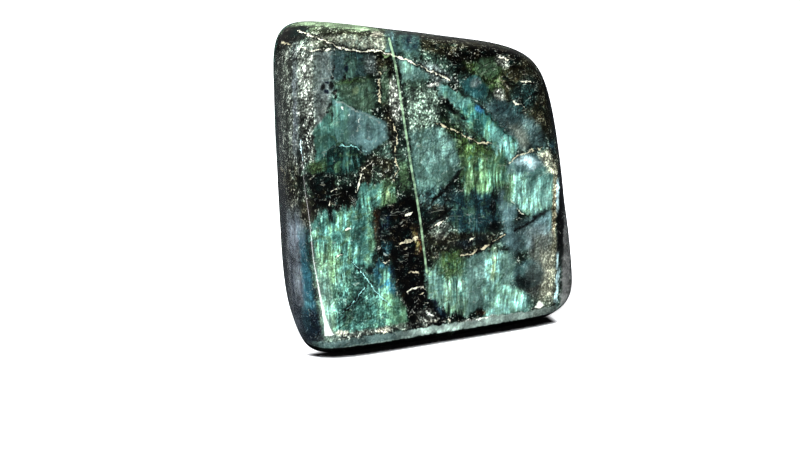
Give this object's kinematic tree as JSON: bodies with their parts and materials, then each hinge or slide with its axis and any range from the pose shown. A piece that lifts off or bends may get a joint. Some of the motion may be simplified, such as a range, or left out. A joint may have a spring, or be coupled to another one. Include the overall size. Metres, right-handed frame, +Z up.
{
  "type": "polished labradorite freeform",
  "caption": "Free-standing polished labradorite stone, a rounded slab ground to soft flats that stands on a level foot.",
  "frame": {"origin": "on the ground foot, under the middle of the stone's bounding box", "axes": "+Z up; -Y out of the show face; +X to the right for someone who looks at the show face"},
  "size_m": [0.1016, 0.0502, 0.0971],
  "materials": {
    "polished_labradorite": "polished"
  },
  "bodies": {
    "root": {"labradorite_stone": "polished_labradorite"}
  },
  "joints": []
}
